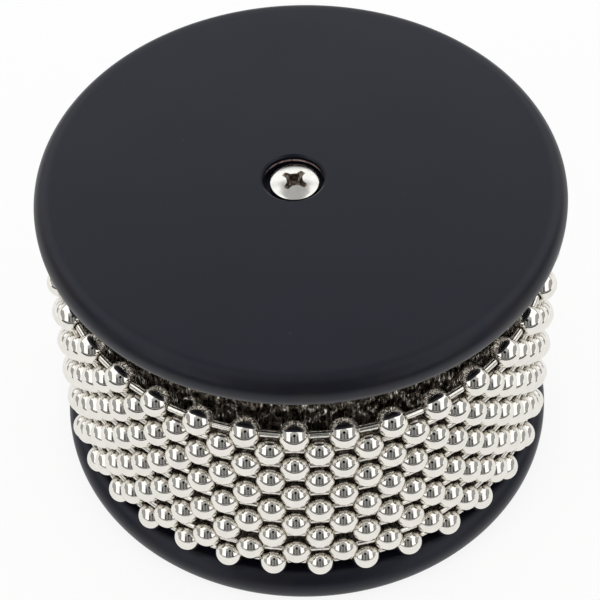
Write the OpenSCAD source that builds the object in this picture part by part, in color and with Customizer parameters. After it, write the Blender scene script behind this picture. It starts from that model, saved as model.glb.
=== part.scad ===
// Hand cabasa: two lacquered wooden discs on a sheathed wooden core, with loops of steel ball chain
// that spin on the sheath. Z is up, the origin is at the centre of the bottom face, the front is -Y.

/* [Discs] */
// Diameter of both discs
disc_d = 88; // [74:0.5:120]
// Thickness of each disc
disc_t = 6.2; // [5.2:0.1:10]
// Radius of the rounded rims, kept below half the thickness
rim_r = 2.9; // [0.5:0.1:4]
// How far the discs reach past the chain
rim_overhang = 0.3; // [0:0.1:3]

/* [Ball chain] */
// Number of chain loops
loop_count = 10; // [4:1:10]
// Outer diameter of a ball
ball_d = 5.1; // [3.8:0.1:5.4]
// Wall of a hollow ball
ball_wall = 0.25; // [0.15:0.05:0.4]
// Bare link between two balls, before it is evened out round the loop
link_bare = 2.7; // [2:0.05:5]
// Diameter of a link
link_d = 1.2; // [0.8:0.05:1.3]
// Mean gap between a ball and the link of the next loop
row_gap = 0.81; // [0.7:0.01:2]
// Gap under the lowest loop
row_seat = 0.3; // [0.2:0.05:1]
// Bare sheath above the highest loop
head_room = 7.2; // [2:0.1:20]
// Turn of the lowest loop from the front, in degrees
chain_turn = -3.5; // [-5:0.1:5]
// Turn of each loop over the one below, in degrees
row_turn = 0.06; // [-0.2:0.02:0.2]

/* [Sheath] */
// Thickness of the steel sheet
sheet_t = 0.5; // [0.4:0.05:0.7]
// Gap between the sheath and the balls
sheath_clear = 0.3; // [0.2:0.05:0.6]
// Width of the butt seam at the back
seam_w = 0.4; // [0.2:0.1:1]
// Number of tacks along each side of the seam
tack_rows = 4; // [2:1:6]
// Diameter of a tack's shank
tack_d = 1; // [0.8:0.1:1.3]
// Diameter of a tack's head
tack_head_d = 2.2; // [1.8:0.1:2.8]
// Length of a tack under its head
tack_len = 8; // [5:0.5:12]

/* [Screws] */
// Diameter of a screw's shank
screw_d = 4; // [3:0.1:4.6]
// Length of a screw under its head
screw_len = 25; // [16:1:26]
// Diameter of a screw's head
screw_head_d = 8.3; // [7:0.1:9.4]
// Straight side of a screw's head
screw_head_side = 1.6; // [1:0.1:2]
// Rise of a screw's domed head
screw_head_rise = 0.9; // [0.5:0.1:1.1]
// Size across the arms of the cross recess
recess_d = 4.6; // [3.4:0.1:5.2]
// Width of an arm of the cross recess
recess_arm_w = 1; // [0.7:0.1:1.2]
// Depth of the cross recess
recess_depth = 1.5; // [0.8:0.1:2]
// Diameter of the counterbore over a screw's head
counterbore_d = 10.2; // [9.2:0.1:12]
// Depth of the counterbore over a screw's head
counterbore_depth = 2.8; // [2.2:0.1:3.6]
// How far left of the axis the top hole is drilled
drill_left = 1.1; // [0:0.1:1.5]
// How far in front of the axis the top hole is drilled
drill_front = 0.3; // [0:0.1:1.5]
// How far right of its hole's centre the top screw sits
screw_right = 0.2; // [0:0.05:0.2]

/* [Hidden] */
// Rise of each step between loops, lowest first, as a share of the mean step
row_step_shares = [0.95, 1.14, 0.95, 1.0, 1.03, 1.01, 0.95, 0.99, 0.98];
// Largest rim radius, as a share of the thickness
rim_limit_share = 0.48;
// Sheath to core, at the radius
sheath_fit = 0.05;
// Sheath to each disc
sheath_end_gap = 0.2;
// Link to the hole in a ball, at the radius
link_fit = 0.1;
// How much wider than the hole a link's head is, at the radius
head_lip = 0.15;
// Link's head to the rim of the hole
head_fit = 0.1;
// Tack or screw to its hole in the core, at the radius
pilot_fit = 0.05;
// Screw to its hole in a disc, at the radius
disc_hole_fit = 0.25;
// Height of a screw's point
screw_point = 4;
// Room past a screw's or a tack's point
pilot_spare = 1;
// Bevel at the mouth of a counterbore
mouth_bevel = 0.3;
// Thickness of a tack's head
tack_head_t = 0.3;
// Room round a tack's head
tack_head_fit = 0.05;
// Tack's axis to the edge of the seam
tack_setback = 2.5;
// Highest and lowest tack to the ends of the sheath
tack_margin = 5;
// Width of the recess's well, as a share of its size across the arms
well_share = 0.56;
// Width of the recess's floor, as a share of its size across the arms
floor_share = 0.4;
// Overrun of every cut
cut = 0.5;
// Turn of the recess
recess_turn = 51;
// Turn of the seam, which is at the back
seam_turn = 90;
// Turn of the front
front_turn = -90;
// Segments of round shapes
$fn = 48;

rim = min(rim_r, disc_t * rim_limit_share);
disc_r = disc_d / 2;
ball_r = ball_d / 2;
chain_r = disc_r - rim_overhang - ball_r;
sheath_r = chain_r - ball_r - sheath_clear;
core_r = sheath_r - sheet_t - sheath_fit;
row_pitch = ball_r + link_d / 2 + row_gap;
bead_count = round(180 / asin((ball_d + link_bare) / (2 * chain_r)));
bead_turn = 360 / bead_count;
bead_pitch = 2 * chain_r * sin(bead_turn / 2);
link_r = link_d / 2;
hole_r = link_r + link_fit;
link_head_r = hole_r + head_lip;
ball_inner_r = ball_r - ball_wall;
hole_rim = sqrt(pow(ball_inner_r, 2) - pow(hole_r, 2));
link_head_at = hole_rim - sqrt(pow(link_head_r + head_fit, 2) - pow(hole_r, 2));
core_h = loop_z(loop_count) + ball_r + head_room - disc_t;
total_h = core_h + 2 * disc_t;
sheath_h = core_h - 2 * sheath_end_gap;
tack_turn = asin((seam_w / 2 + tack_setback) / sheath_r);
tack_step = (sheath_h - 2 * tack_margin) / (tack_rows - 1);
dome_r = (pow(screw_head_d / 2, 2) + pow(screw_head_rise, 2)) / (2 * screw_head_rise);
screw_seat = disc_t - counterbore_depth;
top_hole = [-drill_left, -drill_front];
bottom_hole = [0, 0];
top_pilot = [top_hole[0] + screw_right, top_hole[1]];

LOOPS = [for (i = [1:loop_count]) str(i < 10 ? "loop_0" : "loop_", i)];

// Height of a loop's centre, counted from 1 at the bottom
function loop_z(i) = disc_t + row_seat + ball_r + row_pitch * steps_below(i);
// Steps between the lowest loop and loop i, as shares of the mean step
function steps_below(i) = i <= 1 ? 0 : row_step_shares[i - 2] + steps_below(i - 1);
// Turn of ball k of loop i: each loop's balls stand over the links of the loop below
function bead_at(i, k) = front_turn + chain_turn + row_turn * (i - 1) + (k + (i % 2) / 2) * bead_turn;

// Outline of half a disc with a rounded rim, flat at the bottom and the top
module disc_outline() {
    square([disc_r - rim, disc_t]);
    translate([0, rim])
        square([disc_r, disc_t - 2 * rim]);
    for (y = [rim, disc_t - rim])
        translate([disc_r - rim, y])
            circle(rim);
}

// Disc with its outer face at z = disc_t, drilled and counterbored for a screw
module drilled_disc(hole) {
    difference() {
        rotate_extrude()
            disc_outline();
        translate([hole[0], hole[1], 0]) {
            translate([0, 0, -cut])
                cylinder(h = disc_t + 2 * cut, r = screw_d / 2 + disc_hole_fit);
            translate([0, 0, screw_seat])
                cylinder(h = counterbore_depth + cut, d = counterbore_d);
            translate([0, 0, disc_t - mouth_bevel])
                cylinder(h = 2 * mouth_bevel, r1 = counterbore_d / 2, r2 = counterbore_d / 2 + 2 * mouth_bevel);
        }
    }
}

module top_disc() {
    color("#2d2e35")
        translate([0, 0, total_h - disc_t])
            drilled_disc(top_hole);
}

module bottom_disc() {
    color("#2d2e35")
        translate([0, 0, disc_t])
            mirror([0, 0, 1])
                drilled_disc(bottom_hole);
}

// Hole for a screw's shank, downwards from z = 0
module screw_pilot() {
    translate([0, 0, screw_seat - screw_len - pilot_spare])
        cylinder(h = screw_len + pilot_spare - screw_seat + cut, r = screw_d / 2 + pilot_fit);
}

// Places one copy at every tack, with X pointing outwards
module at_tacks() {
    for (side = [-1, 1], row = [0:tack_rows - 1])
        rotate([0, 0, seam_turn + side * tack_turn])
            translate([0, 0, disc_t + sheath_end_gap + tack_margin + row * tack_step])
                children();
}

module core_block() {
    color("burlywood")
        difference() {
            translate([0, 0, disc_t])
                cylinder(h = core_h, r = core_r);
            translate([top_pilot[0], top_pilot[1], total_h - disc_t])
                screw_pilot();
            translate([bottom_hole[0], bottom_hole[1], disc_t])
                mirror([0, 0, 1])
                    screw_pilot();
            at_tacks()
                translate([sheath_r - tack_head_t - tack_len - pilot_spare, 0, 0])
                    rotate([0, 90, 0])
                        cylinder(h = tack_len + pilot_spare + cut, r = tack_d / 2 + pilot_fit);
        }
}

// Sheet rolled round the core, with a butt seam and a pocket for each tack
module steel_sheath() {
    color("dimgray")
        difference() {
            translate([0, 0, disc_t + sheath_end_gap])
                cylinder(h = sheath_h, r = sheath_r);
            translate([0, 0, disc_t])
                cylinder(h = core_h, r = core_r + sheath_fit);
            rotate([0, 0, seam_turn])
                translate([core_r - cut, -seam_w / 2, disc_t])
                    cube([sheet_t + sheath_fit + 2 * cut, seam_w, core_h]);
            at_tacks()
                translate([core_r - cut, 0, 0])
                    rotate([0, 90, 0])
                        cylinder(h = sheet_t + sheath_fit + 2 * cut, r = tack_d / 2 + pilot_fit);
            at_tacks()
                translate([sheath_r - tack_head_t, 0, 0])
                    rotate([0, 90, 0])
                        cylinder(h = tack_head_t + cut, r = tack_head_d / 2 + tack_head_fit);
        }
}

// Flat-headed tacks, flush with the sheath
module seam_tacks() {
    color("silver")
        at_tacks() {
            translate([sheath_r - tack_head_t, 0, 0])
                rotate([0, 90, 0])
                    cylinder(h = tack_head_t, d = tack_head_d);
            translate([sheath_r - tack_head_t - tack_len + tack_d, 0, 0])
                rotate([0, 90, 0])
                    cylinder(h = tack_len - tack_d, d = tack_d);
            translate([sheath_r - tack_head_t - tack_len, 0, 0])
                rotate([0, 90, 0])
                    cylinder(h = tack_d, r1 = 0, r2 = tack_d / 2);
        }
}

// Cross-shaped driver recess that narrows to its floor, downwards from z = 0
module recess() {
    intersection() {
        union() {
            translate([0, 0, -recess_depth])
                cylinder(h = recess_depth, d1 = recess_d * floor_share, d2 = recess_d);
            cylinder(h = cut, d = recess_d);
        }
        union() {
            for (turn = [recess_turn, recess_turn + 90])
                rotate([0, 0, turn])
                    translate([-recess_d, -recess_arm_w / 2, -recess_depth])
                        cube([2 * recess_d, recess_arm_w, recess_depth + cut]);
            translate([0, 0, -recess_depth])
                cylinder(h = recess_depth + cut, d = recess_d * well_share);
        }
    }
}

// Pan-head screw standing on its head's bearing face at z = 0, point down
module pan_screw() {
    difference() {
        intersection() {
            cylinder(h = screw_head_side + screw_head_rise, d = screw_head_d);
            translate([0, 0, screw_head_side + screw_head_rise - dome_r])
                sphere(dome_r);
        }
        translate([0, 0, screw_head_side + screw_head_rise])
            recess();
    }
    translate([0, 0, screw_point - screw_len])
        cylinder(h = screw_len - screw_point, d = screw_d);
    translate([0, 0, -screw_len])
        cylinder(h = screw_point, r1 = 0, r2 = screw_d / 2);
}

module top_screw() {
    color("lightgray")
        translate([top_pilot[0], top_pilot[1], total_h - counterbore_depth])
            pan_screw();
}

module bottom_screw() {
    color("lightgray")
        translate([bottom_hole[0], bottom_hole[1], counterbore_depth])
            mirror([0, 0, 1])
                pan_screw();
}

// Hollow ball at a loop's radius on +X, with a hole towards each neighbour
module bead() {
    translate([chain_r, 0, 0])
        difference() {
            sphere(ball_r);
            sphere(ball_inner_r);
            for (side = [-1, 1])
                rotate([0, 0, side * (90 + bead_turn / 2)])
                    rotate([0, 90, 0])
                        cylinder(h = ball_d, r = hole_r);
        }
}

// Link from the ball on +X to the next one, with a round head held inside each
module bead_link() {
    reach = bead_pitch / 2 - link_head_at;
    rotate([0, 0, bead_turn / 2])
        translate([chain_r * cos(bead_turn / 2), 0, 0])
            rotate([90, 0, 0]) {
                cylinder(h = 2 * reach, r = link_r, center = true);
                for (end = [-reach, reach])
                    translate([0, 0, end])
                        sphere(link_head_r);
            }
}

// Repeats one ball or link round loop i
module round_loop(i) {
    for (k = [0:bead_count - 1])
        translate([0, 0, loop_z(i)])
            rotate([0, 0, bead_at(i, k)])
                children();
}

module loop_beads(i) {
    color("silver")
        round_loop(i)
            bead();
}

module loop_links(i) {
    color("darkgray")
        round_loop(i)
            bead_link();
}

top_disc();
bottom_disc();
core_block();
steel_sheath();
seam_tacks();
top_screw();
bottom_screw();
for (i = [1:loop_count]) {
    loop_beads(i);
    loop_links(i);
}
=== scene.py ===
"""Hand cabasa: finishes the discs, sheath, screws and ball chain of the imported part, and sets up
the studio round it. The front is -Y, and lengths are in metres."""
import functools
import math
from typing import NamedTuple

import bmesh
import bpy
import numpy as np
from bpy.props import FloatProperty, FloatVectorProperty, IntProperty, PointerProperty
from mathutils import Matrix, Vector


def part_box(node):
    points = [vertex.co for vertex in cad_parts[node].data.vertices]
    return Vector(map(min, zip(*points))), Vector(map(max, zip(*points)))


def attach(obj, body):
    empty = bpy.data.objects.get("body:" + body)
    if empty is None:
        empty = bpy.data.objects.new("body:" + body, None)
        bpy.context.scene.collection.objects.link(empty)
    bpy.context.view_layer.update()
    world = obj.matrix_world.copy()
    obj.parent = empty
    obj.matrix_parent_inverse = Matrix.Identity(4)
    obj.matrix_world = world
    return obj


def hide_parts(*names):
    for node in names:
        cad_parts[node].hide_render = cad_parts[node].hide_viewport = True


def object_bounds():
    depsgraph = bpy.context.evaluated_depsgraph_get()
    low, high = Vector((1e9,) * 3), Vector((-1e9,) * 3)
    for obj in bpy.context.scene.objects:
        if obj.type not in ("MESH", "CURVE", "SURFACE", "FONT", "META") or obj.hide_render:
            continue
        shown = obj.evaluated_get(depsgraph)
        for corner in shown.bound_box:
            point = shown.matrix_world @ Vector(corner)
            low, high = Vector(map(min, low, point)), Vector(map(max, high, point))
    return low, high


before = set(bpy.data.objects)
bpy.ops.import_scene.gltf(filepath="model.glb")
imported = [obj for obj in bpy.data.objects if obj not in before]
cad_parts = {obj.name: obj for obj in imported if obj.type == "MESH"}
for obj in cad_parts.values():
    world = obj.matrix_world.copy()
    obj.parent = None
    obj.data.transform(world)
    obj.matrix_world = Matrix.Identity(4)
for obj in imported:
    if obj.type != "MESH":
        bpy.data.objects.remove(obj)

bl_info = {
    "name": "Hand cabasa",
    "version": (1, 0, 0),
    "blender": (4, 5, 0),
    "location": "3D View > Sidebar > Cabasa",
    "description": "Finishes the discs, sheath, screws and ball chain of a hand cabasa",
    "category": "Object",
}

MM = 0.001
CAD_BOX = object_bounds()
LOOPS = sorted(name[:-6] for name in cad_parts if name.endswith("_beads"))


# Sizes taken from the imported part


def mesh_points(mesh):
    """Vertices of a mesh, one row each."""
    points = np.empty(len(mesh.vertices) * 3)
    mesh.vertices.foreach_get("co", points)
    return points.reshape(-1, 3)


@functools.lru_cache(maxsize=None)
def node_points(node):
    """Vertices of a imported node, one row each."""
    return mesh_points(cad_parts[node].data)


@functools.lru_cache(maxsize=None)
def node_box(node):
    """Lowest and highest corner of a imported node."""
    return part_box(node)


def node_height(node):
    low, high = node_box(node)
    return high.z - low.z


def node_middle(node):
    low, high = node_box(node)
    return (low + high) / 2


def reach_from_axis(node):
    """Smallest and largest distance of a node from the drum's axis."""
    points = node_points(node)
    away = np.hypot(points[:, 0], points[:, 1])
    return away.min(), away.max()


def ball_radius():
    return node_height(LOOPS[0] + "_beads") / 2


def chain_radius():
    """Distance of a loop's balls from the drum's axis."""
    return sum(reach_from_axis(LOOPS[0] + "_beads")) / 2


# Settings a maker would change


def size_setting(label, description, default, low, high):
    """A length whose default and limits are given in millimetres."""
    return FloatProperty(
        name=label, description=description, default=default * MM, min=low * MM, max=high * MM,
        unit="LENGTH")


class CabasaSizes(bpy.types.PropertyGroup):
    rim_radius: size_setting("Rim radius", "Radius of the discs' rounded rims", 2.9, 0.5, 3.0)
    mouth_bevel: size_setting("Mouth bevel", "Bevel at the mouth of a counterbore", 0.3, 0.1, 0.6)
    counterbore: size_setting(
        "Counterbore", "Diameter of the counterbore over a screw's head", 10.2, 9.0, 12.0)
    counterbore_depth: size_setting(
        "Counterbore depth", "Depth of the counterbore over a screw's head", 2.8, 2.2, 3.6)
    shank_hole: size_setting(
        "Shank hole", "Diameter of a disc's hole for the screw's shank", 4.5, 4.2, 5.0)
    ball_wall: size_setting("Ball wall", "Wall of a hollow ball", 0.25, 0.1, 0.4)
    ball_hole: size_setting("Ball hole", "Diameter of a ball's hole for the link", 1.4, 0.9, 1.5)
    link_wire: size_setting("Link wire", "Diameter of a link's wire", 1.2, 0.7, 1.3)
    link_head: size_setting("Link head", "Diameter of the round head inside a ball", 1.7, 1.2, 1.8)
    balls_in_loop: IntProperty(
        name="Balls in a loop", description="Number of balls in one loop of chain", default=33,
        min=20, max=48)
    emboss_depth: size_setting("Emboss depth", "Depth of the sheath's embossing", 0.24, 0.02, 0.3)
    emboss_width: size_setting(
        "Emboss width", "Distance between embossed bumps round the drum", 1.5, 0.8, 4)
    emboss_height: size_setting(
        "Emboss height", "Distance between rows of embossed bumps", 2.6, 0.8, 4)
    seam_width: size_setting("Seam width", "Gap of the sheath's butt seam at the back", 0.4, 0.1, 1)
    sheet_thickness: size_setting("Sheet thickness", "Thickness of the steel sheet", 0.5, 0.3, 0.8)
    recess_width: size_setting(
        "Recess width", "Size across the arms of the cross recess", 4.6, 3.4, 5.0)
    recess_arm: size_setting("Recess arm", "Width of an arm of the cross recess", 1.0, 0.7, 1.2)
    recess_depth: size_setting("Recess depth", "Depth of the cross recess", 1.5, 0.8, 2.0)
    recess_turn: FloatProperty(
        name="Recess turn", description="Turn of the cross recess", default=math.radians(51),
        subtype="ANGLE")
    screw_right: size_setting(
        "Screw right", "How far right of its hole's centre the top screw sits", 0.2, 0, 0.2)
    thread_pitch: size_setting("Thread pitch", "Pitch of the wood screws' thread", 1.8, 1.0, 2.5)


def colour_setting(label, description, default):
    return FloatVectorProperty(
        name=label, description=description, default=default, subtype="COLOR", size=3, min=0,
        max=1)


class CabasaFinish(bpy.types.PropertyGroup):
    lacquer: colour_setting("Lacquer", "Black lacquer of the discs", (0.0042, 0.0046, 0.0105))
    lacquer_worn: colour_setting(
        "Worn lacquer", "Lacquer where hands rub the rims", (0.011, 0.009, 0.0095))
    bare_wood: colour_setting("Bare wood", "Wood where the drill left it bare", (0.85, 0.62, 0.55))
    nickel: colour_setting("Nickel", "Plating of the balls", (0.95, 0.92, 0.855))
    link_metal: colour_setting("Link metal", "Plating of the links", (0.93, 0.90, 0.83))
    sheet: colour_setting("Sheet steel", "Embossed sheet of the sheath", (0.97, 0.94, 0.89))
    zinc: colour_setting("Zinc", "Plating of the screws", (0.84, 0.83, 0.79))
    # A colour for dirt, and also for painted shade on the balls, in the screw recesses and on the
    # sheath
    grime_and_shade: colour_setting("Grime", "Dirt in recesses and under the chain", (0.082, 0.046, 0.022))
    core_wood: colour_setting("Core wood", "Wood of the core", (0.55, 0.38, 0.22))


class CabasaStudio(bpy.types.PropertyGroup):
    camera_rise: FloatProperty(
        name="Camera rise", description="Height of the camera above the horizon",
        default=math.radians(49.47), subtype="ANGLE")
    camera_distance: FloatProperty(
        name="Camera distance", description="Camera to the middle of the drum", default=348.8 * MM,
        unit="LENGTH")
    camera_roll: FloatProperty(
        name="Camera roll", description="Roll of the camera", default=math.radians(-1.759),
        subtype="ANGLE")
    lens: FloatProperty(name="Lens", description="Focal length in millimetres", default=119.08)
    shift_right: FloatProperty(
        name="Shift right", description="Camera shift to the right", default=-0.0061)
    shift_up: FloatProperty(name="Shift up", description="Camera shift upwards", default=-0.00685)
    soft_light: FloatProperty(
        name="Soft light", description="Light that comes from all round", default=0.55, min=0,
        max=2)
    lamp_power: FloatProperty(
        name="Lamp power", description="Power of the overhead soft lamp", default=1.6, min=0,
        unit="POWER")
    floor_colour: colour_setting("Floor", "Pale paper floor", (0.8, 0.8, 0.8))


# Mesh helpers


def circle(radius, height, count, centre=(0, 0)):
    """Level ring of points round an upright axis."""
    turn = np.arange(count) * 2 * math.pi / count
    return np.column_stack([
        centre[0] + radius * np.cos(turn),
        centre[1] + radius * np.sin(turn),
        np.full(count, height),
    ])


def between(first, last, shares):
    """Rings part of the way from one ring to another."""
    return [first * (1 - share) + last * share for share in shares]


def skin(name, rings, joined=False, capped=False):
    """Mesh whose faces join each ring to the next, and the last to the first if it is joined."""
    count = len(rings[0])
    rows = len(rings)
    at = np.arange(count)
    ahead = np.roll(at, -1)
    quads = []
    for row in range(rows if joined else rows - 1):
        here = row * count
        there = ((row + 1) % rows) * count
        quads.append(np.column_stack([here + at, here + ahead, there + ahead, there + at]))
    faces = np.concatenate(quads).tolist()
    if capped:
        faces.append(list(range(count)))
        faces.append(list(range((rows - 1) * count, rows * count)))
    mesh = bpy.data.meshes.new(name)
    mesh.from_pydata(np.concatenate(rings).tolist(), [], faces)
    turned = bmesh.new()
    turned.from_mesh(mesh)
    bmesh.ops.recalc_face_normals(turned, faces=turned.faces)
    turned.to_mesh(mesh)
    turned.free()
    return mesh


def shade(mesh, crease=None):
    """Smooth shading, with edges sharper than the crease angle left crisp."""
    mesh.polygons.foreach_set("use_smooth", np.ones(len(mesh.polygons), bool))
    if crease is not None:
        mesh.set_sharp_from_angle(angle=math.radians(crease))
    mesh.update()
    return mesh


def note(mesh, name, values):
    """Keeps one number a vertex on the mesh, for its material to read."""
    attribute = mesh.attributes.new(name, "FLOAT", "POINT")
    attribute.data.foreach_set("value", np.asarray(values, np.float32))


def repeat(name, unit, places):
    """One mesh with a copy of the unit at every place, each a turn about the axis and a height."""
    points = mesh_points(unit)
    corners = np.empty(len(unit.loops), np.int32)
    unit.loops.foreach_get("vertex_index", corners)
    starts = np.empty(len(unit.polygons), np.int32)
    unit.polygons.foreach_get("loop_start", starts)
    all_points, all_corners, all_starts = [], [], []
    for number, (turn, height) in enumerate(places):
        spin = np.array(Matrix.Rotation(turn, 3, "Z"))
        all_points.append(points @ spin.T + np.array([0, 0, height]))
        all_corners.append(corners + number * len(points))
        all_starts.append(starts + number * len(corners))
    mesh = bpy.data.meshes.new(name)
    mesh.vertices.add(len(points) * len(places))
    mesh.vertices.foreach_set("co", np.concatenate(all_points).ravel())
    mesh.loops.add(len(corners) * len(places))
    mesh.loops.foreach_set("vertex_index", np.concatenate(all_corners))
    mesh.polygons.add(len(starts) * len(places))
    mesh.polygons.foreach_set("loop_start", np.concatenate(all_starts))
    mesh.update(calc_edges=True)
    for attribute in unit.attributes:
        if attribute.data_type == "FLOAT" and attribute.domain == "POINT":
            values = np.empty(len(points), np.float32)
            attribute.data.foreach_get("value", values)
            note(mesh, attribute.name, np.tile(values, len(places)))
    return mesh


def add_piece(mesh, material, body, slot, *nodes):
    """Puts a finished mesh in the scene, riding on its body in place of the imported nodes."""
    piece = bpy.data.objects.new(mesh.name, mesh)
    bpy.context.scene.collection.objects.link(piece)
    mesh.materials.append(material)
    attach(piece, body)
    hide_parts(*nodes)


def dress(node, material):
    """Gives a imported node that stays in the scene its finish."""
    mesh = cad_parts[node].data
    mesh.materials.clear()
    mesh.materials.append(material)


# Material helpers


def dimmed(colour, share):
    """A darker version of a colour."""
    return tuple(part * share for part in colour)


class Recipe:
    """A material being made: its tree, its shader and short ways to add nodes."""

    def __init__(self, name):
        self.material = bpy.data.materials.new(name)
        self.material.use_nodes = True
        self.nodes = self.material.node_tree.nodes
        self.links = self.material.node_tree.links
        self.shader = self.nodes["Principled BSDF"]
        self.place = self.nodes.new("ShaderNodeTexCoord").outputs["Object"]

    def add(self, kind, **settings):
        node = self.nodes.new(kind)
        for key, value in settings.items():
            setattr(node, key, value)
        return node

    def noise(self, size, detail=3, stretch=None, waver=0):
        """Cloudy pattern with features of the given size, from 0 to 1."""
        node = self.add("ShaderNodeTexNoise")
        node.inputs["Scale"].default_value = 1 / size
        node.inputs["Detail"].default_value = detail
        node.inputs["Roughness"].default_value = 0.55
        node.inputs["Distortion"].default_value = waver
        place = self.place
        if stretch:
            mapping = self.add("ShaderNodeMapping")
            mapping.inputs["Scale"].default_value = stretch
            self.links.new(place, mapping.inputs["Vector"])
            place = mapping.outputs["Vector"]
        self.links.new(place, node.inputs["Vector"])
        return node.outputs["Fac"]

    def span(self, value, low, high, to_low, to_high):
        """Maps a range of values to another."""
        node = self.add("ShaderNodeMapRange", clamp=True)
        ends = {"From Min": low, "From Max": high, "To Min": to_low, "To Max": to_high}
        for key, number in ends.items():
            node.inputs[key].default_value = number
        self.links.new(value, node.inputs["Value"])
        return node.outputs["Result"]

    def patches(self, size, low, high, to_low=0, to_high=1, **pattern):
        """Cloudy pattern, with its range from low to high spread over another."""
        return self.span(self.noise(size, **pattern), low, high, to_low, to_high)

    def specks(self, size, spread):
        """Small dots, one in each cell of the given size, that fade out over the spread."""
        node = self.add("ShaderNodeTexVoronoi")
        node.inputs["Scale"].default_value = 1 / size
        self.links.new(self.place, node.inputs["Vector"])
        return self.span(node.outputs["Distance"], 0, spread, 1, 0)

    def kept(self, name):
        """A number kept on the mesh."""
        return self.add("ShaderNodeAttribute", attribute_name=name).outputs["Fac"]

    def maths(self, operation, first, second):
        node = self.add("ShaderNodeMath", operation=operation)
        for socket, value in zip(node.inputs, (first, second)):
            if isinstance(value, (int, float)):
                socket.default_value = value
            else:
                self.links.new(value, socket)
        return node.outputs["Value"]

    def blend(self, share, first, second):
        """Colour between two colours."""
        node = self.add("ShaderNodeMix", data_type="RGBA")
        self.links.new(share, node.inputs["Factor"])
        for socket, colour in ((node.inputs[6], first), (node.inputs[7], second)):
            if hasattr(colour, "links"):
                self.links.new(colour, socket)
            else:
                socket.default_value = (*colour, 1)
        return node.outputs[2]

    def bump(self, pattern, depth, under=None):
        """Relief of the given depth, on top of another relief if there is one."""
        node = self.add("ShaderNodeBump")
        node.inputs["Strength"].default_value = 1
        node.inputs["Distance"].default_value = depth
        self.links.new(pattern, node.inputs["Height"])
        if under:
            self.links.new(under, node.inputs["Normal"])
        return node.outputs["Normal"]

    def connect(self, **values):
        for key, value in values.items():
            self.links.new(value, self.shader.inputs[key.replace("_", " ")])

    def fix(self, **values):
        for key, value in values.items():
            self.shader.inputs[key.replace("_", " ")].default_value = value


# Finishes


DUST_GREY = (0.12, 0.12, 0.12)
COOL_SHEEN = (0.84, 0.87, 1.0, 1)


def lacquer_material(finish):
    """Satin black lacquer: faint orange peel, dust, rubbed rims, bare wood in the drilled hole."""
    made = Recipe("satin_black_lacquer")
    cloud = made.patches(14 * MM, 0.3, 0.7, detail=2)
    handled = made.patches(5 * MM, 0.42, 0.62, detail=4)
    rubbed = made.maths("MULTIPLY", made.kept("rubbed"), handled)
    dusty = made.patches(9 * MM, 0.5, 0.6, detail=2)
    dust = made.maths("MULTIPLY", made.specks(5.5 * MM, spread=0.035), dusty)
    bare = made.maths("MULTIPLY", made.kept("bare"), made.patches(1.1 * MM, 0.38, 0.56, detail=4))
    grain = made.blend(
        made.noise(0.5 * MM, stretch=(1, 5, 1)), finish.bare_wood, dimmed(finish.bare_wood, 0.45))
    colour = made.blend(cloud, dimmed(finish.lacquer, 0.8), finish.lacquer)
    colour = made.blend(rubbed, colour, finish.lacquer_worn)
    colour = made.blend(dust, colour, DUST_GREY)
    colour = made.blend(bare, colour, grain)
    smear = made.patches(20 * MM, 0.3, 0.7, 0.36, 0.43)
    rough = made.maths("ADD", smear, made.maths("MULTIPLY", bare, 0.35))
    peel = made.bump(made.noise(1.3 * MM, detail=2), 0.006 * MM)
    fine = made.bump(made.noise(0.25 * MM, detail=2), 0.0015 * MM, under=peel)
    made.connect(Base_Color=colour, Roughness=rough, Normal=fine)
    made.fix(IOR=1.43, Specular_Tint=COOL_SHEEN)
    return made.material


def nickel_material(finish):
    """Tumbled, plated steel balls: fine scratches, dirt at the holes, painted shade towards the
    drum.
    """
    made = Recipe("polished_nickel_plate")
    cloud = made.patches(2.2 * MM, 0.35, 0.75)
    colour = made.blend(cloud, finish.nickel, dimmed(finish.nickel, 0.92))
    # The grime colour at the holes and inside is dirt; towards the drum it is painted shade
    dirt_and_shade_film = made.maths("MULTIPLY", made.kept("grime_and_shade"), made.patches(0.5 * MM, 0.38, 0.6, 0.3, 1.25))
    colour = made.blend(dirt_and_shade_film, colour, finish.grime_and_shade)
    polish = made.patches(0.8 * MM, 0.3, 0.75, 0.03, 0.09, detail=4, stretch=(1, 1, 4))
    rough = made.maths("ADD", polish, made.maths("MULTIPLY", made.kept("grime_and_shade"), 0.3))
    dents = made.bump(made.noise(0.9 * MM, detail=2), 0.0035 * MM)
    fine = made.noise(0.12 * MM, detail=2, stretch=(1, 1, 6))
    scratches = made.bump(fine, 0.0004 * MM, under=dents)
    made.connect(Base_Color=colour, Roughness=rough, Normal=scratches)
    made.fix(Metallic=1.0)
    return made.material


def link_material(finish):
    """Drawn wire, plated, with lengthwise lines."""
    made = Recipe("drawn_nickel_wire")
    worn = made.patches(0.6 * MM, 0.35, 0.7)
    colour = made.blend(worn, finish.link_metal, dimmed(finish.link_metal, 0.75))
    rough = made.patches(0.3 * MM, 0.3, 0.7, 0.08, 0.2, stretch=(1, 1, 8))
    lines = made.bump(made.noise(0.15 * MM, detail=2, stretch=(0.2, 0.2, 3)), 0.001 * MM)
    made.connect(Base_Color=colour, Roughness=rough, Normal=lines)
    made.fix(Metallic=1.0)
    return made.material


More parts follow.
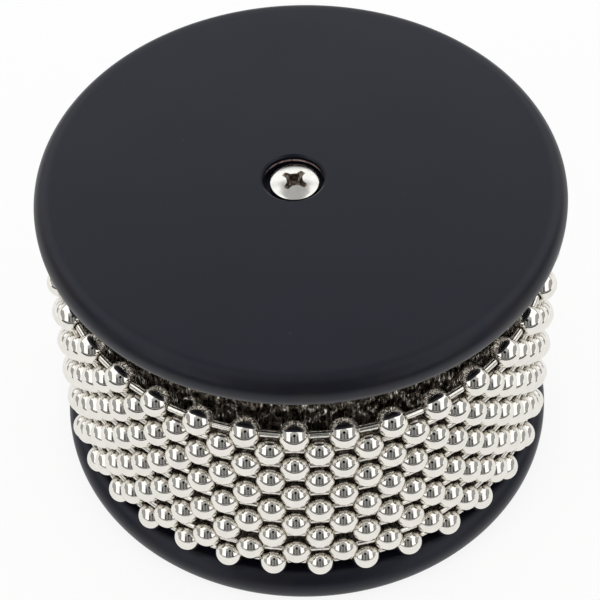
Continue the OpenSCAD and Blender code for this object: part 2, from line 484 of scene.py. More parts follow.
def sheet_material(finish):
    """Embossed steel sheet: painted shade off its burnished upright streaks, dirt and shade in
    valleys.
    """
    made = Recipe("embossed_sheet_steel")
    valley = made.maths("SUBTRACT", 1.0, made.kept("relief"))
    stain = made.patches(4 * MM, 0.35, 0.7, 0.8, 1, detail=4)
    streaks = made.noise(0.42 * MM, detail=2, stretch=(1, 1, 0.12), waver=0.35)
    # Dark in the valleys from dirt and painted shade, and painted shade everywhere off the streaks
    valley_dirt_and_shade = made.maths("MULTIPLY", made.span(valley, 0.4, 1, 0, 0.5), stain)
    dirt_and_shade = made.maths("MAXIMUM", valley_dirt_and_shade, made.span(streaks, 0.49, 0.55, 0.88, 0))
    colour = made.blend(dirt_and_shade, finish.sheet, dimmed(finish.grime_and_shade, 0.55))
    rough = made.span(streaks, 0.5, 0.62, 0.18, 0.04)
    lines = made.bump(streaks, 0.2 * MM)
    swell = made.bump(made.noise(1.2 * MM, detail=1, stretch=(1, 1, 0.4)), 0.9 * MM, under=lines)
    fine = made.bump(made.noise(0.32 * MM), 0.015 * MM, under=swell)
    made.connect(Base_Color=colour, Roughness=rough, Normal=fine)
    made.fix(Metallic=1.0)
    return made.material


def zinc_material(finish):
    """Bright zinc plate of the screws, with faint dents, and dirt and painted shade in the recess.
    """
    made = Recipe("bright_zinc_plate")
    cloud = made.patches(1.6 * MM, 0.35, 0.7, detail=4)
    colour = made.blend(cloud, finish.zinc, dimmed(finish.zinc, 0.88))
    patchy = made.patches(0.5 * MM, 0.25, 0.6, 0.55, 1, detail=4)
    # Dirt and painted shade darken the recess
    dirt_and_shade = made.maths("MULTIPLY", made.kept("grime_and_shade"), patchy)
    colour = made.blend(dirt_and_shade, colour, finish.grime_and_shade)
    polish = made.patches(0.7 * MM, 0.3, 0.7, 0.14, 0.22, detail=4)
    rough = made.maths("ADD", polish, made.maths("MULTIPLY", dirt_and_shade, 0.35))
    dents = made.bump(made.noise(0.45 * MM), 0.006 * MM)
    made.connect(Base_Color=colour, Roughness=rough, Normal=dents)
    made.fix(Metallic=1.0)
    return made.material


def tack_material(finish):
    """Plain steel of the tacks, dulled by age."""
    made = Recipe("tack_steel")
    dull = made.patches(0.7 * MM, 0.4, 0.65, detail=4)
    colour = made.blend(dull, finish.link_metal, dimmed(finish.link_metal, 0.5))
    rough = made.patches(0.3 * MM, 0.3, 0.7, 0.2, 0.4)
    dents = made.bump(made.noise(0.25 * MM), 0.01 * MM)
    made.connect(Base_Color=colour, Roughness=rough, Normal=dents)
    made.fix(Metallic=1.0)
    return made.material


def core_material(finish):
    """Turned beech of the core, with grain along the drum."""
    made = Recipe("turned_core_wood")
    grain = made.noise(2.2 * MM, detail=5, stretch=(1, 1, 0.08))
    streaks = made.span(grain, 0.35, 0.7, 0, 1)
    colour = made.blend(streaks, finish.core_wood, dimmed(finish.core_wood, 0.6))
    rough = made.span(grain, 0.3, 0.7, 0.55, 0.75)
    made.connect(Base_Color=colour, Roughness=rough, Normal=made.bump(grain, 0.05 * MM))
    return made.material


# Pieces


def disc_mesh(name, sizes, hole, outer_face, inner_face):
    """Turned disc with rounded rims, drilled for a screw and counterbored in its outer face."""
    count = 256
    up = 1 if outer_face > inner_face else -1
    radius = reach_from_axis("top_disc")[1]
    rim = sizes.rim_radius
    flat = radius - rim
    bore = sizes.counterbore / 2
    mouth = bore + sizes.mouth_bevel
    seat = outer_face - up * sizes.counterbore_depth
    face_steps = (0.01, 0.05, 0.2, 0.4, 0.6, 0.8, 0.95, 0.99)
    wall_depths = (2.0 * MM, 1.4 * MM, 1.22 * MM, 1.08 * MM, 0.9 * MM, 0.6 * MM)
    bare_depth, bare_reach = 1.15 * MM, 0.08 * MM
    bare_from, bare_width = 0.1, 0.8
    most_rubbed = 0.7
    leans = np.radians(np.linspace(0, 90, 13))

    def rim_ring(lean, face, inward):
        away = flat + rim * math.sin(lean)
        return circle(away, face + inward * rim * (1 - math.cos(lean)), count)

    rings = [circle(mouth, outer_face, count, hole)]
    rings += between(rings[0], circle(flat, outer_face, count), face_steps)
    rings += [rim_ring(lean, outer_face, -up) for lean in leans]
    rings += [rim_ring(lean, inner_face, up) for lean in leans[::-1]]
    rings += between(rings[-1], circle(sizes.shank_hole / 2, inner_face, count, hole), (0.5, 1))
    rings.append(circle(sizes.shank_hole / 2, seat, count, hole))
    rings.append(circle(bore, seat, count, hole))
    for depth in (*wall_depths, sizes.mouth_bevel):
        rings.append(circle(bore, outer_face - up * depth, count, hole))
    mesh = shade(skin(name, rings, joined=True), crease=35)

    points = mesh_points(mesh)
    away = np.hypot(points[:, 0], points[:, 1])
    note(mesh, "rubbed", np.clip((away - flat) / rim, 0, 1) * most_rubbed)
    # The lacquer didn't take on a line round the back of the counterbore's wall
    depth = (outer_face - points[:, 2]) * up
    from_hole = np.hypot(points[:, 0] - hole[0], points[:, 1] - hole[1])
    line = (np.abs(depth - bare_depth) < bare_reach) & (from_hole < bore * 1.01)
    to_back = (points[:, 1] - hole[1]) / bore
    note(mesh, "bare", line * np.clip((to_back - bare_from) / bare_width, 0, 1))
    return mesh


def ball_mesh(name, sizes, dirt_and_shade_film):
    """Hollow ball on +X, with rolled-in link holes that face its neighbours.

    The film is the share of painted shade on its side towards the drum.
    """
    count = 32
    radius = ball_radius()
    inside = radius - sizes.ball_wall
    hole = sizes.ball_hole / 2
    roll = 0.12 * MM
    roll_steps = ((0.05 * MM, 0.03 * MM), (0.012 * MM, 0.08 * MM), (0, 0.15 * MM))
    turn_to_hole = math.pi / sizes.balls_in_loop
    outer_edge = math.asin((hole + roll) / radius)
    inner_edge = math.asin(hole / inside)
    profile = [(radius, lean) for lean in np.linspace(math.pi / 2, outer_edge + 0.05, 9)]
    profile.append((radius, outer_edge))
    for away, inward in roll_steps:
        height = radius * math.cos(outer_edge) - inward
        profile.append((math.hypot(hole + away, height), math.atan2(hole + away, height)))
    profile += [(inside, lean) for lean in np.linspace(inner_edge, math.pi / 2, 4)]
    turn = np.arange(count) * 2 * math.pi / count
    rings = []
    for side, half in ((1, profile), (-1, profile[::-1][1:-1])):
        for length, lean in half:
            along = side * length * math.cos(lean)
            out = length * math.sin(lean) * np.cos(turn)
            lift = length * math.sin(lean) * np.sin(turn)
            bend = side * turn_to_hole * (1 - lean / (math.pi / 2))
            rings.append(np.column_stack([
                out * math.cos(bend) - along * math.sin(bend),
                out * math.sin(bend) + along * math.cos(bend),
                lift,
            ]))
    mesh = shade(skin(name, rings, joined=True))

    # Dirt gathers at the holes, painted shade darkens the side towards the drum, and the inside is
    # fully darkened
    dirt_from, dirt_width, most_dirt = 0.925, 0.02, 0.5
    shade_from, shade_width = 0.45, 0.6
    inside_share = 0.97
    points = np.concatenate(rings)
    to_hole = np.abs(points[:, 1]) / radius
    at_hole = np.clip((to_hole - dirt_from) / dirt_width, 0, 1) * most_dirt
    drum_side_shade = np.clip((shade_from - points[:, 0] / radius) / shade_width, 0, 1) * dirt_and_shade_film
    within = np.linalg.norm(points, axis=1) < radius * inside_share
    note(mesh, "grime_and_shade", np.where(within, 1.0, np.maximum(at_hole, drum_side_shade)))
    mesh.transform(Matrix.Translation((chain_radius(), 0, 0)))
    return mesh


def link_mesh(name, sizes):
    """Wire with a round head at each end, from the ball on +X to the next one round the loop."""
    count = 20
    turn = math.pi / sizes.balls_in_loop
    half_pitch = chain_radius() * math.sin(turn)
    inside = ball_radius() - sizes.ball_wall
    hole = sizes.ball_hole / 2
    head = sizes.link_head / 2
    wire = sizes.link_wire / 2
    head_room = 0.1 * MM
    fillet = 0.12 * MM
    tip_lean = 0.12
    seat = math.sqrt(inside ** 2 - hole ** 2) - math.sqrt((head + head_room) ** 2 - hole ** 2)
    reach = half_pitch - seat
    neck = math.asin(wire / head)
    leans = np.linspace(tip_lean, math.pi - neck, 8)
    profile = [(reach + head * math.cos(lean), head * math.sin(lean)) for lean in leans]
    profile.append((reach - head * math.cos(neck) - fillet, wire))
    profile += [(length, wire) for length in (reach * 0.4, 0)]
    profile += [(-length, width) for length, width in profile[-2::-1]]
    rings = []
    for length, width in profile:
        flat = circle(width, 0, count)
        rings.append(np.column_stack([flat[:, 0], np.full(count, length), flat[:, 1]]))
    mesh = shade(skin(name, rings, capped=True))
    mesh.transform(Matrix.Translation((chain_radius() * math.cos(turn), 0, 0)))
    mesh.transform(Matrix.Rotation(turn, 4, "Z"))
    return mesh


def loop_places(loop, count):
    """Turn and height of every ball of a loop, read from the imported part."""
    points = node_points(loop + "_beads")
    spin = np.exp(1j * count * np.arctan2(points[:, 1], points[:, 0])).mean()
    start = np.angle(spin) / count
    height = node_middle(loop + "_beads").z
    return [(start + number * 2 * math.pi / count, height) for number in range(count)]


def emboss(around, up, width, height, ends, seed):
    """Height from 0 to 1 of staggered, irregular upright bumps, at lengths round and up."""
    rng = np.random.default_rng(seed)
    shift, lean_spread = 0.3, 0.3
    half_widths, half_heights = (0.2, 0.32), (0.42, 0.7)
    peaks = (0.55, 1.0)
    flatness = 1.4
    length, top = ends
    columns = round(length / width)
    rows = math.ceil(top / height) + 2
    relief = np.zeros((len(up), len(around)))
    step_x = around[1] - around[0]
    step_z = up[1] - up[0]
    for row in range(rows):
        for column in range(columns):
            x = (column + 0.5 * (row % 2) + rng.uniform(-shift, shift)) * length / columns
            z = (row - 0.5 + rng.uniform(-shift, shift)) * height
            lean = rng.normal(0, lean_spread)
            wide = width * rng.uniform(*half_widths)
            tall = height * rng.uniform(*half_heights)
            peak = rng.uniform(*peaks)
            i = np.arange(int((x - 2 * width) / step_x), int((x + 2 * width) / step_x) + 1)
            j = np.arange(int((z - 2 * height) / step_z), int((z + 2 * height) / step_z) + 1)
            j = j[(j >= 0) & (j < len(up))]
            if not len(j):
                continue
            dx = i[None, :] * step_x - x
            dz = up[j][:, None] - z
            across = (dx * math.cos(lean) + dz * math.sin(lean)) / wide
            along = (dz * math.cos(lean) - dx * math.sin(lean)) / tall
            bump = peak * np.exp(-((across ** 2 + along ** 2) ** flatness))
            i = i % len(around)
            relief[np.ix_(j, i)] = np.maximum(relief[np.ix_(j, i)], bump)
    return relief


def sheath_mesh(name, sizes):
    """Sheet rolled round the core and butted at the back, embossed outside and plain inside."""
    columns, rows = 740, 130
    plain_by_seam, seam_fade, end_fade = 4.2 * MM, 1.5 * MM, 1.2 * MM
    seed = 7
    low, high = node_box("steel_sheath")
    radius = reach_from_axis("steel_sheath")[1]
    inside = radius - sizes.sheet_thickness
    half_seam = sizes.seam_width / 2 / radius
    back = math.pi / 2
    turn = np.linspace(back + half_seam, back + 2 * math.pi - half_seam, columns)
    up = np.linspace(0, high.z - low.z, rows)
    around = (turn - turn[0]) * radius
    ends = (around[-1], up[-1])
    relief = emboss(around, up, sizes.emboss_width, sizes.emboss_height, ends, seed)
    to_seam = np.minimum(around, around[-1] - around)
    fade = np.clip((to_seam - plain_by_seam) / seam_fade, 0, 1)[None, :]
    to_end = np.minimum(up, up[-1] - up)
    fade = fade * np.clip(to_end / end_fade, 0, 1)[:, None]
    height = 1 - fade * (1 - relief)
    away = radius - sizes.emboss_depth * (1 - height)
    levels = np.repeat(up[:, None] + low.z, columns, 1)
    outer = np.stack([away * np.cos(turn), away * np.sin(turn), levels], 2)
    inner = np.stack([
        np.stack([inside * np.cos(turn), inside * np.sin(turn), np.full(columns, level)], 1)
        for level in (low.z, high.z)])
    points = np.concatenate([outer.reshape(-1, 3), inner.reshape(-1, 3)])
    at = np.arange(columns - 1)

    def strip(first, second):
        """Faces between two rows of points, each given by its first point."""
        return np.column_stack([first + at, first + at + 1, second + at + 1, second + at])

    inner_low = rows * columns
    inner_high = inner_low + columns
    outer_high = (rows - 1) * columns
    faces = [strip(row * columns, (row + 1) * columns) for row in range(rows - 1)]
    faces.append(np.column_stack([
        inner_low + at, inner_high + at, inner_high + at + 1, inner_low + at + 1]))
    faces.append(strip(inner_low, 0))
    faces.append(strip(outer_high, inner_high))
    faces = np.concatenate(faces).tolist()
    edge = (np.arange(rows) * columns).tolist()
    far_edge = [corner + columns - 1 for corner in edge[::-1]]
    faces.append([inner_low, *edge, inner_high])
    faces.append([inner_high + columns - 1, *far_edge, inner_high - 1])
    mesh = bpy.data.meshes.new(name)
    mesh.from_pydata(points.tolist(), [], faces)
    shade(mesh, crease=50)
    note(mesh, "relief", np.concatenate([height.ravel(), np.ones(2 * columns)]))
    return mesh


def cross_outline(count, sizes):
    """Distance from the axis to the rounded cross recess, at each turn."""
    tip_power, corner_power = 8, 6
    least_slope = 0.01
    turn = np.arange(count) * 2 * math.pi / count - sizes.recess_turn
    from_arm = np.abs((turn + math.pi / 4) % (math.pi / 2) - math.pi / 4)
    tip = sizes.recess_width / 2
    well = 0.28 * sizes.recess_width
    flank = sizes.recess_arm / 2 / np.maximum(np.sin(from_arm), least_slope)
    arm = (tip ** -tip_power + flank ** -tip_power) ** (-1 / tip_power)
    return (arm ** corner_power + well ** corner_power) ** (1 / corner_power)


def screw_mesh(name, node, sizes, up):
    """Pan-head wood screw with a cross recess and a rolled thread.

    Its head is above its point where up is 1, and below it where up is -1.
    """
    count = 144
    low, high = node_box(node)
    head = (high.x - low.x) / 2
    centre = np.array([(low.x + high.x) / 2, (low.y + high.y) / 2])
    length = high.z - low.z
    side = 1.6 * MM
    top = side + 0.9 * MM
    crown = 0.66 * MM
    dome = (head ** 2 + crown ** 2) / (2 * crown)
    dome_reach, rim_reach = 0.86 * head, 0.9 * head
    shoulder, shoulder_drop = 0.28 * MM, 0.03 * MM
    lip, lip_drop = 0.08 * MM, 0.06 * MM
    side_drop, bevel = 0.35 * MM, 0.12 * MM
    shank, fillet = 2.0 * MM, 0.15 * MM
    thread_top, taper_length = -3 * MM, 4 * MM
    thread_rings = 120
    root, ridge_reach = 0.74, 0.28
    outline = cross_outline(count, sizes)
    turn = np.arange(count) * 2 * math.pi / count
    circle_x, circle_y = np.cos(turn), np.sin(turn)

    def dome_at(away):
        return top - dome + np.sqrt(dome ** 2 - np.minimum(away, head) ** 2)

    def ring(away, height):
        away = np.broadcast_to(away, count)
        return np.column_stack([away * circle_x, away * circle_y, np.broadcast_to(height, count)])

    floor = top - sizes.recess_depth
    inner = np.minimum(outline, 0.2 * sizes.recess_width)
    rings = [
        ring(0.1 * MM, floor),
        ring(inner * 0.6, floor),
        ring(inner, floor + 0.08 * MM),
        ring(inner + (outline - inner) * 0.35, floor + 0.45 * sizes.recess_depth),
        ring(inner + (outline - inner) * 0.85, floor + 0.8 * sizes.recess_depth),
        ring(outline, dome_at(outline) - lip_drop),
    ]
    recess_rings = len(rings)
    rings.append(ring(outline + lip, dome_at(outline + lip)))
    for share in (0.15, 0.4, 0.7, 0.9, 1.0):
        away = outline + lip + (dome_reach - outline - lip) * share
        rings.append(ring(away, dome_at(away)))
    for lean in np.radians((25, 45, 65, 85)):
        away = head - shoulder + shoulder * math.sin(lean)
        height = dome_at(rim_reach) - shoulder + shoulder * math.cos(lean) - shoulder_drop
        rings.append(ring(away, height))
    rings += [
        ring(head, side - side_drop),
        ring(head, bevel),
        ring(head - bevel, 0),
        ring(shank + fillet, 0),
        ring(shank, -fillet),
        ring(shank, thread_top),
    ]
    point = top - length
    for height in np.linspace(thread_top - 0.1 * MM, point + 0.15 * MM, thread_rings):
        phase = (height / sizes.thread_pitch - turn / (2 * math.pi)) % 1
        ridge = np.clip(1 - np.abs(phase - 0.5) / ridge_reach, 0, 1) ** 0.8
        taper = min(1, max(0.04, (height - point) / taper_length))
        rings.append(ring(shank * taper * (root + (1 - root) * ridge), height))
    mesh = skin(name, rings, capped=True)

    # The recess is marked to be darkened: dirt and painted shade
    grime_and_shade = np.zeros(count * len(rings))
    grime_and_shade[:count * recess_rings] = 1
    note(mesh, "grime_and_shade", grime_and_shade)
    shade(mesh, crease=38)
    if up < 0:
        mesh.transform(Matrix.Rotation(math.pi, 4, "X"))
    bearing = high.z - top if up > 0 else low.z + top
    mesh.transform(Matrix.Translation((*centre, bearing)))
    return mesh


# Studio


class Card(NamedTuple):
    """Light or dark card on an arch over the drum.

    The arch is away metres from the drum. The card's reach to the right is a share of that, and
    its rise is in degrees, from the front horizon over the top.
    """

    name: str
    reach: tuple
    rise: tuple
    rows: int
    away: float
    glow: float
    columns: int = 2


def to_both_sides(name, near, far, **rest):
    """Two cards, one to the left of the camera and one to the right."""
    return (
        Card("left_" + name, reach=(-far, -near), **rest),
        Card("right_" + name, reach=(near, far), **rest),
    )


CARDS = (
    Card("overhead_gap_flag", reach=(-0.29, 0.29), rise=(72, 130), rows=14, away=0.80, glow=0.45),
    Card("upper_gap_flag", reach=(-0.55, 0.55), rise=(54, 72), rows=5, away=0.80, glow=0.42),
    Card("lower_gap_flag", reach=(-0.55, 0.55), rise=(1, 54), rows=12, away=0.80, glow=0.25),
    Card("left_leg", reach=(-0.45, -0.31), rise=(1, 44), rows=10, away=0.78, glow=0.06),
    Card("middle_leg", reach=(-0.05, 0.05), rise=(1, 44), rows=10, away=0.78, glow=0.06),
    Card("right_leg", reach=(0.29, 0.43), rise=(1, 44), rows=10, away=0.78, glow=0.06),
    *to_both_sides("strip_light", 0.27, 1.45, rise=(0.5, 125), rows=26, away=0.84, glow=1.25),
    *to_both_sides("strip_edge", 1.45, 1.6, rise=(0.5, 125), rows=26, away=0.85, glow=0.3),
    *to_both_sides("wing", 1.6, 12.0, rise=(0.5, 179.5), rows=40, away=0.86, glow=0.36),
    Card("rear_strip_light", reach=(-1.45, 1.45), rise=(134, 156), rows=6, away=0.84, glow=1.25),
    Card("rear_wall", reach=(-1.6, 1.6), rise=(156, 179.5), rows=8, away=0.86, glow=0.5),
    Card("low_board", reach=(-4, 4), rise=(0.3, 6), rows=3, away=0.76, glow=0.06, columns=17),
)


def glow_sheet(name, columns, rows, at, strength):
    """Sheet that only shows in reflections, with a point where at() puts each column and row."""
    points = [at(column, row) for row in rows for column in columns]
    wide = len(columns)
    faces = [
        (r * wide + c, r * wide + c + 1, (r + 1) * wide + c + 1, (r + 1) * wide + c)
        for r in range(len(rows) - 1) for c in range(wide - 1)]
    mesh = bpy.data.meshes.new(name)
    mesh.from_pydata(points, [], faces)
    material = bpy.data.materials.new(name)
    material.use_nodes = True
    nodes = material.node_tree.nodes
    nodes.clear()
    glow = nodes.new("ShaderNodeEmission")
    glow.inputs["Strength"].default_value = strength
    output = nodes.new("ShaderNodeOutputMaterial")
    material.node_tree.links.new(glow.outputs[0], output.inputs["Surface"])
    material.cycles.emission_sampling = "NONE"
    mesh.materials.append(material)
    sheet = bpy.data.objects.new(name, mesh)
    bpy.context.scene.collection.objects.link(sheet)
    sheet.visible_camera = False
    sheet.visible_diffuse = False
    sheet.visible_shadow = False
    sheet.visible_transmission = False
    sheet.visible_volume_scatter = False


def on_arch(away, reach, rise):
    """Point on an arch over the drum, by its reach to the right and its rise."""
    middle = node_middle("steel_sheath").z
    return (reach * away, -away * math.cos(rise), middle + away * math.sin(rise))


def make_cards():
    """Hangs the cards that the balls and screws mirror."""
    for card in CARDS:
        reaches = np.linspace(*card.reach, card.columns).tolist()
        rises = np.radians(np.linspace(*card.rise, card.rows)).tolist()
        glow_sheet(card.name, reaches, rises, functools.partial(on_arch, card.away), card.glow)


def make_lens_front(camera):
    """Black disc at the camera, which the balls mirror as a dark dot."""
    back = camera.location
    aside = Vector((1, 0, 0))
    upward = back.normalized().cross(aside).normalized()

    def on_disc(radius, turn):
        return tuple(back + radius * (aside * math.cos(turn) + upward * math.sin(turn)))

    turns = np.linspace(0, 2 * math.pi, 25).tolist()
    glow_sheet("lens_front", [0.5 * MM, 56 * MM], turns, on_disc, strength=0)


def make_table():
    """The white table the balls mirror, with painted shadow near the drum, and its dark end in
    front.
    """

    def on_table(away, turn):
        return (away * math.sin(turn), -away * math.cos(turn), 0.5 * MM)

    turns = np.radians(np.linspace(-74, 74, 30)).tolist()
    glow_sheet("table_end", [0.22, 1.2], turns, on_table, strength=0.08)
    turns = np.radians(np.linspace(-180, 180, 61)).tolist()
    # Dimmer than the open paper: a painted shadow of the drum, seen only in reflections
    glow_sheet("table_near_painted_shadow", [0.046, 0.22], turns, on_table, strength=0.86)


def see_white(tree, dim, bright):
    """Shader that is bright for the camera and in reflections, and dim as a light."""
    path = tree.nodes.new("ShaderNodeLightPath")
    share = path.outputs["Is Camera Ray"]
    for kind in ("Is Glossy Ray", "Is Transmission Ray"):
        either = tree.nodes.new("ShaderNodeMath")
        either.operation = "MAXIMUM"
        tree.links.new(share, either.inputs[0])
        tree.links.new(path.outputs[kind], either.inputs[1])
        share = either.outputs[0]
    mix = tree.nodes.new("ShaderNodeMixShader")
    tree.links.new(share, mix.inputs["Fac"])
    tree.links.new(dim, mix.inputs[1])
    tree.links.new(bright, mix.inputs[2])
    return mix.outputs[0]


def make_world(studio):
    """Soft light from all round, and white where the camera or a reflection sees past the drum."""
    world = bpy.data.worlds.new("white_studio")
    bpy.context.scene.world = world
    world.use_nodes = True
    tree = world.node_tree
    tree.nodes.clear()
    dim = tree.nodes.new("ShaderNodeBackground")
    dim.inputs["Strength"].default_value = studio.soft_light
    bright = tree.nodes.new("ShaderNodeBackground")
    for background in (dim, bright):
        background.inputs["Color"].default_value = (1, 1, 1, 1)
    output = tree.nodes.new("ShaderNodeOutputWorld")
    tree.links.new(see_white(tree, dim.outputs[0], bright.outputs[0]), output.inputs["Surface"])


def make_floor(studio):
    """White paper that takes the drum's shadow, as bright to the camera as the world."""
    reach = 6.0
    below_drum = 0.05 * MM
    shadow_paper = (0.17, 0.17, 0.17, 1)
    paper_glow = 0.86
    mesh = bpy.data.meshes.new("paper_floor")
    sheet = bmesh.new()
    bmesh.ops.create_grid(sheet, x_segments=12, y_segments=12, size=reach)
    sheet.to_mesh(mesh)
    sheet.free()
    floor = bpy.data.objects.new("paper_floor", mesh)
    bpy.context.scene.collection.objects.link(floor)
    floor.location.z = CAD_BOX[0].z - below_drum
    material = bpy.data.materials.new("white_paper")
    material.use_nodes = True
    tree = material.node_tree
    tree.nodes.clear()
    paper = tree.nodes.new("ShaderNodeBsdfDiffuse")
    paper.inputs["Color"].default_value = (*studio.floor_colour, 1)
    seen_paper = tree.nodes.new("ShaderNodeBsdfDiffuse")
    seen_paper.inputs["Color"].default_value = shadow_paper
    glow = tree.nodes.new("ShaderNodeEmission")
    glow.inputs["Strength"].default_value = paper_glow
    both = tree.nodes.new("ShaderNodeAddShader")
    tree.links.new(seen_paper.outputs[0], both.inputs[0])
    tree.links.new(glow.outputs[0], both.inputs[1])
    output = tree.nodes.new("ShaderNodeOutputMaterial")
    tree.links.new(see_white(tree, paper.outputs[0], both.outputs[0]), output.inputs["Surface"])
    material.cycles.emission_sampling = "NONE"
    mesh.materials.append(material)


def make_lamp(name, place, size, power):
    """Soft lamp that faces the drum and isn't seen in reflections."""
    data = bpy.data.lights.new(name, "AREA")
    data.shape = "RECTANGLE"
    data.size, data.size_y = size
    data.energy = power
    lamp = bpy.data.objects.new(name, data)
    bpy.context.scene.collection.objects.link(lamp)
    lamp.location = place
    middle = node_middle("steel_sheath")
    lamp.rotation_euler = (middle - Vector(place)).to_track_quat("-Z", "Y").to_euler()
    lamp.visible_glossy = False
    lamp.visible_camera = False


def make_camera(studio):
    """Camera in front of the drum and above it."""
    data = bpy.data.cameras.new("studio_camera")
    data.lens = studio.lens
    data.sensor_width = 36
    data.shift_x = studio.shift_right
    data.shift_y = studio.shift_up
    data.clip_start, data.clip_end = 0.02, 30
    camera = bpy.data.objects.new("studio_camera", data)
    bpy.context.scene.collection.objects.link(camera)
    back = Vector((0, -math.cos(studio.camera_rise), math.sin(studio.camera_rise)))
    middle = (CAD_BOX[0] + CAD_BOX[1]) / 2
    camera.rotation_mode = "QUATERNION"
    level = (-back).to_track_quat("-Z", "Y")
    roll = Matrix.Rotation(studio.camera_roll, 3, "Z").to_quaternion()
    camera.rotation_quaternion = level @ roll
    camera.location = Vector((0, 0, middle.z)) + back * studio.camera_distance
    bpy.context.scene.camera = camera


# Operators


class CABASA_OT_make_stage(bpy.types.Operator):
    """Puts the white floor, the soft lamps, the cards and the camera round the drum"""

    bl_idname = "cabasa.make_stage"
    bl_label = "Studio"

    def execute(self, context):
        studio = context.scene.cabasa_studio
        context.scene.view_settings.view_transform = "Standard"
        make_camera(studio)
        make_world(studio)
        make_floor(studio)
        power = studio.lamp_power
        make_lamp("overhead_soft_lamp", place=(0, 0.15, 0.95), size=(0.7, 0.7), power=power)
        make_lamp("left_soft_lamp", place=(-0.7, -0.55, 0.55), size=(0.35, 0.6), power=power * 0.6)
        make_lamp("right_soft_lamp", place=(0.7, -0.55, 0.55), size=(0.35, 0.6), power=power * 0.5)
        make_cards()
        make_lens_front(context.scene.camera)
        make_table()
        return {"FINISHED"}


class CABASA_OT_make_discs(bpy.types.Operator):
    """Turns the two lacquered discs, with the top one drilled off its centre"""

    bl_idname = "cabasa.make_discs"
    bl_label = "Discs"

    def execute(self, context):
        sizes = context.scene.cabasa_sizes
        material = lacquer_material(context.scene.cabasa_finish)
        low, high = node_box("top_disc")
        screw = node_middle("top_screw")
        hole = (screw.x - sizes.screw_right, screw.y)
        mesh = disc_mesh("lacquered_top_disc", sizes, hole, outer_face=high.z, inner_face=low.z)
        add_piece(mesh, material, "drum", "black_lacquer", "top_disc")
        low, high = node_box("bottom_disc")
        screw = node_middle("bottom_screw")
        hole = (screw.x, screw.y)
        mesh = disc_mesh("lacquered_bottom_disc", sizes, hole, outer_face=low.z, inner_face=high.z)
        add_piece(mesh, material, "drum", "black_lacquer", "bottom_disc")
        return {"FINISHED"}


class CABASA_OT_make_sheath(bpy.types.Operator):
    """Rolls the embossed sheath round the core"""

    bl_idname = "cabasa.make_sheath"
    bl_label = "Sheath"

    def execute(self, context):
        mesh = sheath_mesh("embossed_sheath", context.scene.cabasa_sizes)
        material = sheet_material(context.scene.cabasa_finish)
        add_piece(mesh, material, "drum", "sheet_steel", "steel_sheath")
        return {"FINISHED"}


class CABASA_OT_finish_core(bpy.types.Operator):
    """Finishes the wooden core and the tacks of the seam"""

    bl_idname = "cabasa.finish_core"
    bl_label = "Core and tacks"

    def execute(self, context):
        finish = context.scene.cabasa_finish
        dress("core_block", core_material(finish))
        dress("seam_tacks", tack_material(finish))
        return {"FINISHED"}


class CABASA_OT_make_screws(bpy.types.Operator):
    """Makes the two pan-head screws"""

    bl_idname = "cabasa.make_screws"
    bl_label = "Screws"

    def execute(self, context):
        sizes = context.scene.cabasa_sizes
        material = zinc_material(context.scene.cabasa_finish)
        for name, node, up in (
            ("pan_head_top_screw", "top_screw", 1),
            ("pan_head_bottom_screw", "bottom_screw", -1),
        ):
            add_piece(screw_mesh(name, node, sizes, up), material, "drum", "zinc_steel", node)
        return {"FINISHED"}


class CABASA_OT_make_balls(bpy.types.Operator):
    """Strings the hollow balls of every loop, with painted shade on the drum side of all but the
    top loop
    """

    bl_idname = "cabasa.make_balls"
    bl_label = "Balls"

    def execute(self, context):
        sizes = context.scene.cabasa_sizes
        material = nickel_material(context.scene.cabasa_finish)
        # Lower loops get painted shade on the drum side of their balls; the top loop gets none
        drum_shaded = ball_mesh("drum_shaded_ball", sizes, dirt_and_shade_film=0.78)
        handled = ball_mesh("top_loop_ball", sizes, dirt_and_shade_film=0)
        for loop in LOOPS:
            unit = handled if loop == LOOPS[-1] else drum_shaded
            mesh = repeat(loop + "_balls", unit, loop_places(loop, sizes.balls_in_loop))
            add_piece(shade(mesh), material, loop, "nickel_steel", loop + "_beads")
        return {"FINISHED"}


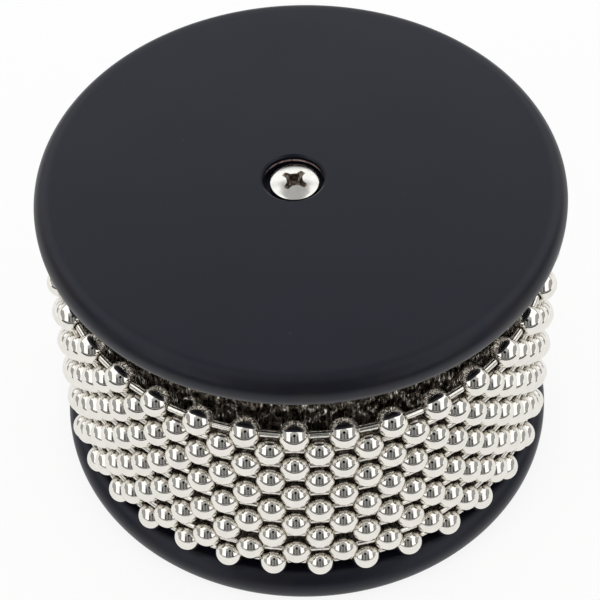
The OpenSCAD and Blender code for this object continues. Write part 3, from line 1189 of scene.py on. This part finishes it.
class CABASA_OT_make_links(bpy.types.Operator):
    """Joins the balls of every loop with round-headed wires"""

    bl_idname = "cabasa.make_links"
    bl_label = "Links"

    def execute(self, context):
        sizes = context.scene.cabasa_sizes
        material = link_material(context.scene.cabasa_finish)
        unit = link_mesh("headed_wire", sizes)
        for loop in LOOPS:
            mesh = repeat(loop + "_wires", unit, loop_places(loop, sizes.balls_in_loop))
            add_piece(shade(mesh), material, loop, "nickel_wire", loop + "_links")
        return {"FINISHED"}


class CABASA_PT_parts(bpy.types.Panel):
    """Lists the cabasa's pieces and its settings"""

    bl_idname = "CABASA_PT_parts"
    bl_label = "Hand cabasa"
    bl_space_type = "VIEW_3D"
    bl_region_type = "UI"
    bl_category = "Cabasa"

    def draw(self, context):
        column = self.layout.column()
        for operator in OPERATORS:
            column.operator(operator.bl_idname)
        for group_name in GROUPS:
            group = getattr(context.scene, group_name)
            box = self.layout.box()
            for name in group.bl_rna.properties.keys():
                if name not in ("rna_type", "name"):
                    box.prop(group, name)


OPERATORS = (
    CABASA_OT_make_stage,
    CABASA_OT_make_discs,
    CABASA_OT_make_sheath,
    CABASA_OT_finish_core,
    CABASA_OT_make_screws,
    CABASA_OT_make_balls,
    CABASA_OT_make_links,
)
GROUPS = {
    "cabasa_sizes": CabasaSizes,
    "cabasa_finish": CabasaFinish,
    "cabasa_studio": CabasaStudio,
}


def register():
    for name, group in GROUPS.items():
        bpy.utils.register_class(group)
        setattr(bpy.types.Scene, name, PointerProperty(type=group))
    for item in (*OPERATORS, CABASA_PT_parts):
        bpy.utils.register_class(item)


def unregister():
    for item in (CABASA_PT_parts, *reversed(OPERATORS)):
        bpy.utils.unregister_class(item)
    for name, group in GROUPS.items():
        delattr(bpy.types.Scene, name)
        bpy.utils.unregister_class(group)


def main():
    register()
    bpy.ops.cabasa.make_stage()
    bpy.ops.cabasa.make_discs()
    bpy.ops.cabasa.make_sheath()
    bpy.ops.cabasa.finish_core()
    bpy.ops.cabasa.make_screws()
    bpy.ops.cabasa.make_balls()
    bpy.ops.cabasa.make_links()


if __name__ == "__main__":
    main()
